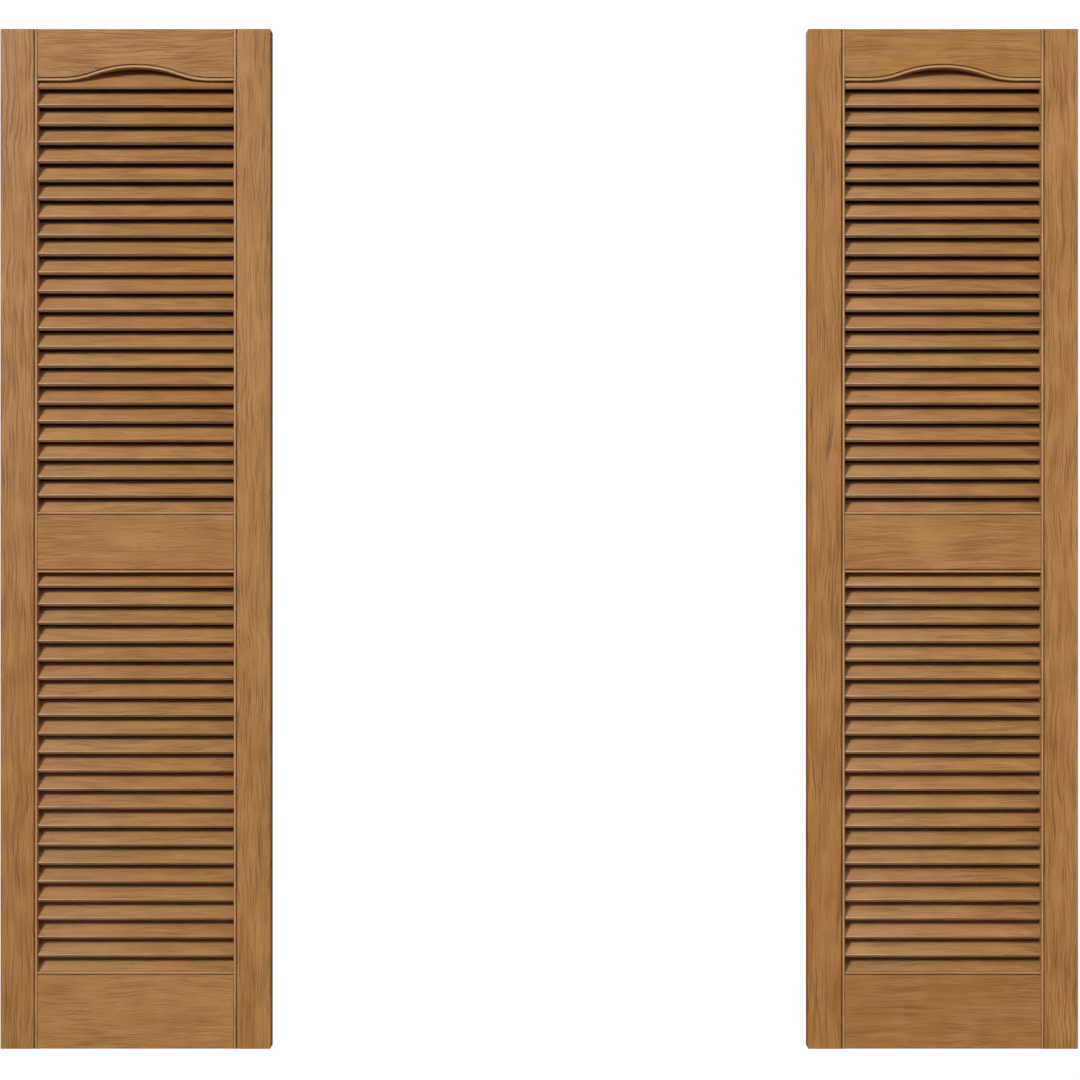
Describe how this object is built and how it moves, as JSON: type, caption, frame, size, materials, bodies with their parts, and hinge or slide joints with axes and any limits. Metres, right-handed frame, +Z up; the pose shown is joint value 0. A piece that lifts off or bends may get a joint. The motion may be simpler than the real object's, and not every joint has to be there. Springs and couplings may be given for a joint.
{
  "type": "louvred window shutters",
  "caption": "Pair of fixed louvred timber window shutters with arched top rails, framed leaves of sloping slats and hidden keyhole hangers on the backs.",
  "frame": {"origin": "bottom of the pair, halfway across the two leaves and halfway through their thickness", "axes": "+X runs across the pair from the left leaf to the right leaf, +Z runs up, and the front faces -Y"},
  "size_m": [1.476, 0.035, 1.397],
  "materials": {
    "frame_timber": "satin brown stain",
    "slat_timber": "satin brown stain",
    "steel": "zinc plated"
  },
  "bodies": {
    "root": {"left_outer_stile": "frame_timber", "left_inner_stile": "frame_timber", "left_top_rail": "frame_timber", "left_mid_rail": "frame_timber", "left_bottom_rail": "frame_timber", "right_outer_stile": "frame_timber", "right_inner_stile": "frame_timber", "right_top_rail": "frame_timber", "right_mid_rail": "frame_timber", "right_bottom_rail": "frame_timber", "hanger_plates": "steel", "hanger_screws": "steel", "left_arch_louvre": "slat_timber", "left_end_louvres": "slat_timber", "right_arch_louvre": "slat_timber", "right_end_louvres": "slat_timber", "left_upper_louvres_1": "slat_timber", "left_upper_louvres_2": "slat_timber", "left_upper_louvres_3": "slat_timber", "left_upper_louvres_4": "slat_timber", "left_upper_louvres_5": "slat_timber", "left_upper_louvres_6": "slat_timber", "left_upper_louvres_7": "slat_timber", "left_upper_louvres_8": "slat_timber", "left_upper_louvres_9": "slat_timber", "left_upper_louvres_10": "slat_timber", "left_upper_louvres_11": "slat_timber", "left_lower_louvres_1": "slat_timber", "left_lower_louvres_2": "slat_timber", "left_lower_louvres_3": "slat_timber", "left_lower_louvres_4": "slat_timber", "left_lower_louvres_5": "slat_timber", "left_lower_louvres_6": "slat_timber", "left_lower_louvres_7": "slat_timber", "left_lower_louvres_8": "slat_timber", "left_lower_louvres_9": "slat_timber", "left_lower_louvres_10": "slat_timber", "left_lower_louvres_11": "slat_timber", "right_upper_louvres_1": "slat_timber", "right_upper_louvres_2": "slat_timber", "right_upper_louvres_3": "slat_timber", "right_upper_louvres_4": "slat_timber", "right_upper_louvres_5": "slat_timber", "right_upper_louvres_6": "slat_timber", "right_upper_louvres_7": "slat_timber", "right_upper_louvres_8": "slat_timber", "right_upper_louvres_9": "slat_timber", "right_upper_louvres_10": "slat_timber", "right_upper_louvres_11": "slat_timber", "right_lower_louvres_1": "slat_timber", "right_lower_louvres_2": "slat_timber", "right_lower_louvres_3": "slat_timber", "right_lower_louvres_4": "slat_timber", "right_lower_louvres_5": "slat_timber", "right_lower_louvres_6": "slat_timber", "right_lower_louvres_7": "slat_timber", "right_lower_louvres_8": "slat_timber", "right_lower_louvres_9": "slat_timber", "right_lower_louvres_10": "slat_timber", "right_lower_louvres_11": "slat_timber"}
  },
  "joints": []
}
